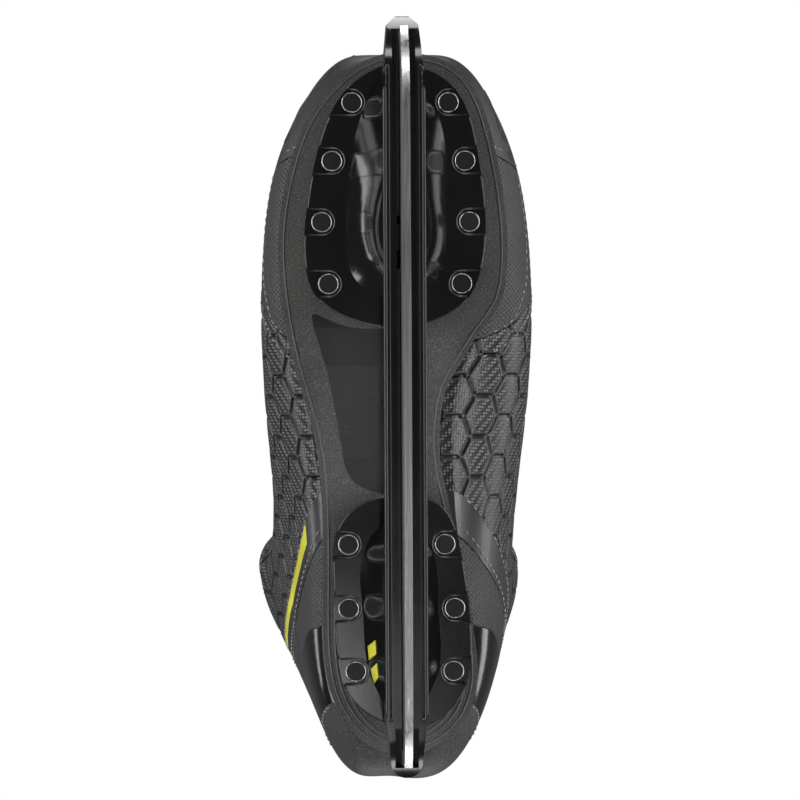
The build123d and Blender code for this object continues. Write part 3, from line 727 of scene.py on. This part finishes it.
def tube(name, points, radius, material, sides=8, closed=False):
    """A round bead along a line of points, on the fixed body."""
    verts = []
    faces = []
    count = len(points)
    for k, point in enumerate(points):
        before = points[(k - 1) % count] if closed or k else point
        after = points[(k + 1) % count] if closed or k < count - 1 else point
        along = (after - before).normalized()
        across = along.cross(Vector((0.02, 0.03, 1))).normalized()
        up = across.cross(along)
        for j in range(sides):
            turn = 2 * math.pi * j / sides
            verts.append(point + across * radius * math.cos(turn) + up * radius * math.sin(turn))
    for k in range(count if closed else count - 1):
        for j in range(sides):
            a = k * sides + j
            b = k * sides + (j + 1) % sides
            c = ((k + 1) % count) * sides
            faces.append((a, b, c + (j + 1) % sides, c + j))
    if not closed:
        faces.append(tuple(range(sides)))
        faces.append(tuple((count - 1) * sides + j for j in reversed(range(sides))))
    obj = add_object(name, verts, faces)
    obj.data.materials.append(material)
    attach(obj, "root")
    return obj


# ---- hard parts keep their CAD shape ------------------------------------------------------------
for node_name, obj in nodes.items():
    wear(obj, SLOT_OF[node_name])


# ---- boot panels --------------------------------------------------------------------------------
for side_name, _ in SIDES:
    hexagon_panel(f"{side_name}_quarter")
    woven_panel(f"{side_name}_forefoot_panel")
    woven_panel(f"{side_name}_heel_mesh")
    skin_of(f"{side_name}_facing", f"{side_name}_facing_skin", 0.9, smooth=3, inflate_mm=0.05)
    pad = skin_of(f"{side_name}_ankle_pad", f"{side_name}_ankle_cushion", 1.2, smooth=10, inflate_mm=0.7)


# ---- soft goods ---------------------------------------------------------------------------------
skin_of("boot_liner", "liner_cloth", 1.2, smooth=2)
skin_of("collar_binding", "collar_piping", 0.6, smooth=6, inflate_mm=0.35)
skin_of("footbed", "footbed_foam", 1.1, smooth=6, inflate_mm=0.2)
tendon_cushion = skin_of("tendon_pad", "tendon_cushion", 1.0, smooth=12, inflate_mm=0.5)
felt = skin_of("tongue_felt", "tongue_felt_body", 1.2, smooth=8, inflate_mm=0.3)
skin_of("tongue_shield", "tongue_shield_skin", 0.7, smooth=4, inflate_mm=0.15)
skin_of("tongue_lining", "tongue_lining_cloth", 0.9, smooth=4, inflate_mm=0.1)


# ---- details on the sole ------------------------------------------------------------------------
FRONT_SOLE = 56 * MM
HEEL_LIFT = 6 * MM
RAMP = (-27 * MM, 39 * MM)          # the sole rises to the heel between these two places
SOLE_THICKNESS = 4 * MM
BEAD_RADIUS = 0.42 * MM             # the outsole's ridges and the rivet pockets' lips
SOLE_BEADS = [(2.2, -1.0), (4.6, 0.075), (6.6, 0.085)]
TOE_RIDGE_OUT = 4.5 * MM            # the toe ridge lies this far outside the outsole
TOE_RIDGE_END = -0.1


def sole_height(y):
    """The outsole's lower face: level, then a smooth rise, then level under the heel."""
    t = min(max((y - RAMP[0]) / (RAMP[1] - RAMP[0]), 0), 1)
    return FRONT_SOLE + HEEL_LIFT * t * t * (3 - 2 * t)


def sole_outline(steps=64):
    """The outsole's edge as (x, y), from the toe down the medial side and back up the lateral."""
    edge = surface_of([nodes["outsole"]])
    low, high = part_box("outsole")
    middle = (low.y + high.y) / 2
    half = (high.y - low.y) / 2 - 0.15 * MM
    sides = {1: [], -1: []}
    for sign, line in sides.items():
        for k in range(steps + 1):
            y = middle - half * math.cos(math.pi * k / steps)
            start = Vector((sign * 0.1, y, sole_height(y) + SOLE_THICKNESS * 0.6))
            place, _, _, _ = edge.ray_cast(start, Vector((-sign, 0, 0)), 0.2)
            if place is not None:
                line.append((place.x, y))
    return sides[1] + sides[-1][::-1]


def moved_in(outline, amount):
    """The outline with each point moved square inwards, in metres."""
    moved = []
    count = len(outline)
    for k in range(count):
        x0, y0 = outline[k - 2]
        x1, y1 = outline[(k + 2) % count]
        length = math.hypot(x1 - x0, y1 - y0)
        x, y = outline[k]
        moved.append((x - amount * (y1 - y0) / length, y + amount * (x1 - x0) / length))
    return moved


def sole_beads():
    """Ridges inside the outsole's edge, each given by its inset in millimetres and where it starts
    along Y, and one round the toe cap. The first ridge goes all the way round."""
    outline = sole_outline()
    for k, (inset, from_y) in enumerate(SOLE_BEADS):
        line = [(x, y) for x, y in moved_in(outline, inset * MM) if y > from_y]
        points = [Vector((x, y, sole_height(y) + 0.05 * MM)) for x, y in line]
        # The ridges wear the lighter grey of a painted highlight.
        tube(f"sole_bead_{k}", points, BEAD_RADIUS, LIT_RIDGE.material, closed=k == 0)
    cap = surface_of([nodes["toe_cap"]])
    points = []
    for x, y in moved_in(outline, -TOE_RIDGE_OUT):
        place, _, _, _ = cap.ray_cast(Vector((x, y, 0)), Vector((0, 0, 1)), 0.2)
        if place is not None and y < TOE_RIDGE_END:
            points.append((math.atan2(x, TOE_RIDGE_END - y), place))
    points.sort(key=lambda item: item[0])
    tube("toe_ridge", [place for _, place in points], 0.4 * MM, PAINTS["toe_plastic"].material)


def islands(node):
    """The separate bodies in a node, each as its lowest and highest corner."""
    work = bmesh.new()
    work.from_mesh(nodes[node].data)
    bmesh.ops.remove_doubles(work, verts=work.verts, dist=WELD)
    found = []
    waiting = set(work.verts)
    while waiting:
        group = [waiting.pop()]
        members = []
        while group:
            vert = group.pop()
            members.append(vert.co.copy())
            for edge in vert.link_edges:
                other = edge.other_vert(vert)
                if other in waiting:
                    waiting.remove(other)
                    group.append(other)
        low = Vector(min(m[i] for m in members) for i in range(3))
        high = Vector(max(m[i] for m in members) for i in range(3))
        found.append((low, high))
    work.free()
    return sorted(found, key=lambda pair: (round(pair[0].y, 4), pair[0].x))


POCKET_GAP = 0.9 * MM               # between a rivet's head and its pocket's wall
HEAD_SUNK = 1.1 * MM                # the head lies this far above the cup's face
RIM_RADIUS = 0.3 * MM
WALL_PROBE = 0.9 * MM               # how far above a cup's face its wall is looked for
CUP_EDGE_RADIUS = 0.34 * MM


def rivet_details():
    """A bright metal rim on each rivet's black head, a painted highlight, and a rounded lip round its pocket,
    painted lighter than the holder as a painted highlight.
    """
    holder = surface_of([nodes["blade_holder"]])
    for node in ("front_rivets", "rear_rivets"):
        for k, (low, high) in enumerate(islands(node)):
            centre = (low + high) / 2
            radius = (high.y - low.y) / 2
            ring = []
            for j in range(32):
                turn = 2 * math.pi * j / 32
                ring.append(Vector((centre.x + (radius - RIM_RADIUS) * math.cos(turn),
                                    centre.y + (radius - RIM_RADIUS) * math.sin(turn), low.z)))
            tube(f"{node}_rim_{k}", ring, RIM_RADIUS, BRIGHT_RIM.material, closed=True)
            out = 1 if centre.x > 0 else -1
            wide = radius + POCKET_GAP
            face = low.z - HEAD_SUNK
            lip = []
            for j in range(17):
                turn = math.pi / 2 + math.pi * j / 16
                lip.append(Vector((centre.x + out * wide * math.cos(turn),
                                   centre.y + wide * math.sin(turn), face)))
            corners = []
            for end, beside in ((0, 1), (-1, -1)):
                start = Vector((out * 0.1, lip[end].y + beside * 0.4 * MM, face + WALL_PROBE))
                place, _, _, _ = holder.ray_cast(start, Vector((-out, 0, 0)), 0.2)
                corners.append(Vector((place.x - out * 0.7 * MM, lip[end].y, face)))
            lip = [corners[0]] + lip + [corners[1]]
            tube(f"{node}_lip_{k}", lip, BEAD_RADIUS, LIT_LIP.material)


CUPS = {                            # lowest face, ends along Y, and the rivets in each cup
    "front": (51 * MM, -129.8 * MM, -27.4 * MM, "front_rivets"),
    "rear": (57 * MM, 38.8 * MM, 129.8 * MM, "rear_rivets"),
}


def cup_edges(steps=90):
    """A fine rounded edge round each cup, broken where the rivet pockets open, painted lighter than the
    holder as a painted highlight.
    """
    holder = surface_of([nodes["blade_holder"]])
    for name, (face, y0, y1, rivets) in CUPS.items():
        pockets = [(low + high) / 2 for low, high in islands(rivets)]
        low, high = islands(rivets)[0]
        wide = (high.y - low.y) / 2 + POCKET_GAP
        for side_name, sign in SIDES:
            run = []
            runs = [run]
            for k in range(steps + 1):
                y = (y0 + y1) / 2 - (y1 - y0) / 2 * math.cos(math.pi * k / steps)
                start = Vector((sign * 0.1, y, face + WALL_PROBE))
                place, _, _, _ = holder.ray_cast(start, Vector((-sign, 0, 0)), 0.2)
                open_here = any(p.x * sign > 0 and abs(p.y - y) < wide for p in pockets)
                if place is None or open_here:
                    run = []
                    runs.append(run)
                else:
                    run.append(Vector((place.x - sign * 0.35 * MM, y, face + 0.35 * MM)))
            for k, points in enumerate(part for part in runs if len(part) > 2):
                tube(f"cup_edge_{name}_{side_name}_{k}", points, CUP_EDGE_RADIUS, LIT_LIP.material)


RAIL_LIP_X = 6.3 * MM               # the lip along the rail's lower edge
RAIL_LIP_RADIUS = 1.55 * MM
RAIL_LIP_START = -0.127
RAIL_LIP_LENGTH = 0.252
RAIL_EDGE_Z = 20.6 * MM             # the edge along its top
RAIL_EDGE_RADIUS = 0.6 * MM
RAIL_EDGE_START = -0.119
RAIL_EDGE_LENGTH = 0.242
RAIL_STEPS = 80


def rail_edges():
    """Rounded edges and lips along the rail, where the holder's gloss shows."""
    holder = surface_of([nodes["blade_holder"]])
    for side_name, sign in SIDES:
        points = []
        for k in range(RAIL_STEPS):
            y = RAIL_LIP_START + RAIL_LIP_LENGTH * k / (RAIL_STEPS - 1)
            place, _, _, _ = holder.ray_cast(Vector((sign * RAIL_LIP_X, y, 0)), Vector((0, 0, 1)), 0.1)
            points.append(Vector((sign * RAIL_LIP_X, y, place.z + 1.35 * MM)))
        bead = tube(f"rail_lip_{side_name}", points, RAIL_LIP_RADIUS, PAINTS["holder_nylon"].material, 16)
    for side_name, sign in SIDES:
        points = []
        for k in range(RAIL_STEPS):
            y = RAIL_EDGE_START + RAIL_EDGE_LENGTH * k / (RAIL_STEPS - 1)
            start = Vector((sign * 0.05, y, RAIL_EDGE_Z))
            place, _, _, _ = holder.ray_cast(start, Vector((-sign, 0, 0)), 0.1)
            if place is not None:
                points.append(Vector((place.x - sign * 0.35 * MM, y, RAIL_EDGE_Z - 0.25 * MM)))
        bead = tube(f"rail_edge_{side_name}", points, RAIL_EDGE_RADIUS, PAINTS["holder_nylon"].material)


MARK_STROKES = [(0.0945, 0.1000), (0.1035, 0.1090)]     # where each stroke starts and ends along Y
MARK_LEAN = 0.003
MARK_FOOT = 41.5                    # millimetres above the ice
MARK_HEIGHT = 11.5


def tower_mark():
    """Two slanted yellow strokes on the outer wall of the rear tower."""
    holder = surface_of([nodes["blade_holder"]])
    rows = 12
    columns = 5
    for k, (y0, y1) in enumerate(MARK_STROKES):
        verts = []
        for i in range(rows + 1):
            z = (MARK_FOOT + MARK_HEIGHT * i / rows) * MM
            for j in range(columns + 1):
                y = y0 + (y1 - y0) * j / columns + MARK_LEAN * i / rows
                place, _, _, _ = holder.ray_cast(Vector((-0.1, y, z)), Vector((1, 0, 0)), 0.1)
                verts.append(place - Vector((0.12 * MM, 0, 0.05 * MM)))
        step = columns + 1
        faces = [(a, a + 1, a + 1 + step, a + step)
                 for i in range(rows) for a in range(i * step, i * step + columns)]
        mark = add_object(f"tower_mark_{k}", verts, faces)
        solid = mark.modifiers.new("thick", "SOLIDIFY")
        solid.thickness = 0.1 * MM
        bake_modifiers(mark)
        mark.data.materials.append(PAINTS["accent_yellow"].material)
        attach(mark, "root")


# ---- seams --------------------------------------------------------------------------------------
UPPER = [nodes[name] for name in nodes
         if name.endswith(("quarter", "facing", "panel", "band", "mesh", "counter", "cup", "cap",
                           "accent", "backstay"))]
SIDE_SEAMS = {                      # (y, z) in millimetres, seen from the side
    "forefoot_middle": [(-88, 76), (-66, 79), (-46, 78), (-30, 70), (-24, 62)],
    "quarter_front": [(-13, 60), (-17, 66), (-30, 80), (-43, 95.5), (-64, 98), (-80, 97)],
    "toe_line": [(-98, 60), (-96, 67), (-89, 92), (-80, 112)],
    "band_front": [(33, 62), (54, 80), (80, 106), (100, 138), (110, 167), (113, 180)],
    "band_rear": [(44, 62), (64, 75), (90, 101), (109, 135), (118, 166), (119.5, 182)],
    "counter_top": [(119, 64), (129, 84), (139, 97)],
    "collar": [(108, 181), (92, 178), (70, 184), (52, 194)],
}
BACKSTAY_SEAM_X = 11 * MM
BACKSTAY_SEAM_FOOT = 112            # millimetres above the ice
BACKSTAY_STITCH = 3.1
FACING_ROWS = (("inner", -5.2), ("outer", 6.2))         # millimetres from the line of the eyelets
TONGUE_INSET = 3.0 * MM
TONGUE_MARGIN = 0.004               # the tongue's rows stop this far short of the shield's ends


def panel_seams():
    """The side seams, and two rows up the backstay."""
    target = surface_of(UPPER)
    for name, path in SIDE_SEAMS.items():
        for side_name, sign in SIDES:
            stitch_row(f"stitches_{name}_{side_name}", side_hits(walk(path, STITCH), sign, target))
    for side_name, sign in SIDES:
        hits = []
        for k in range(24):
            start = Vector((sign * BACKSTAY_SEAM_X, 0.25, (BACKSTAY_SEAM_FOOT + BACKSTAY_STITCH * k) * MM))
            place, normal, _, _ = target.ray_cast(start, Vector((0, -1, 0)), 0.3)
            if place is not None:
                hits.append((place, normal if normal.y > 0 else -normal))
        stitch_row(f"stitches_backstay_{side_name}", hits)


def facing_seams():
    """Two rows up each facing, either side of its eyelets."""
    for side_name, sign in SIDES:
        skin = surface_of([nodes[f"{side_name}_facing"]])
        centres = [(low + high) / 2 for low, high in islands(f"{side_name}_eyelets")]
        path = walk([tuple(c) for c in centres], STITCH * MM)
        for row, shift in FACING_ROWS:
            hits = []
            for point in path:
                near, normal, _, _ = skin.find_nearest(Vector(point))
                if normal.z < 0:
                    normal = -normal
                along = Vector((0, 1, 0.7)).normalized()
                aside = along.cross(normal).normalized()
                if aside.x * sign < 0:
                    aside = -aside
                place, facing, _, _ = skin.find_nearest(near + aside * shift * MM + normal * 1.5 * MM)
                hits.append((place, facing if facing.z > -0.2 else -facing))
            stitch_row(f"stitches_facing_{row}_{side_name}", hits)


def tongue_seams():
    """A row inside each edge of the tongue's shield."""
    skin = surface_of([nodes["tongue_shield"]])
    low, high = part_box("tongue_shield")
    for side_name, sign in SIDES:
        hits = []
        for k in range(44):
            z = low.z + TONGUE_MARGIN + (high.z - low.z - 2 * TONGUE_MARGIN) * k / 43
            for step in range(60):
                start = Vector((sign * (0.032 - 0.0005 * step), -0.2, z))
                place, _, _, _ = skin.ray_cast(start, Vector((0, 1, 0)), 0.4)
                if place is not None:
                    break
            inner = Vector((start.x - sign * TONGUE_INSET, -0.2, z))
            place, normal, _, _ = skin.ray_cast(inner, Vector((0, 1, 0)), 0.4)
            if place is not None:
                hits.append((place, normal if normal.y < 0 else -normal))
        stitch_row(f"stitches_tongue_{side_name}", hits, body="tongue")


sole_beads()
rivet_details()
cup_edges()
rail_edges()
tower_mark()
panel_seams()
facing_seams()
tongue_seams()
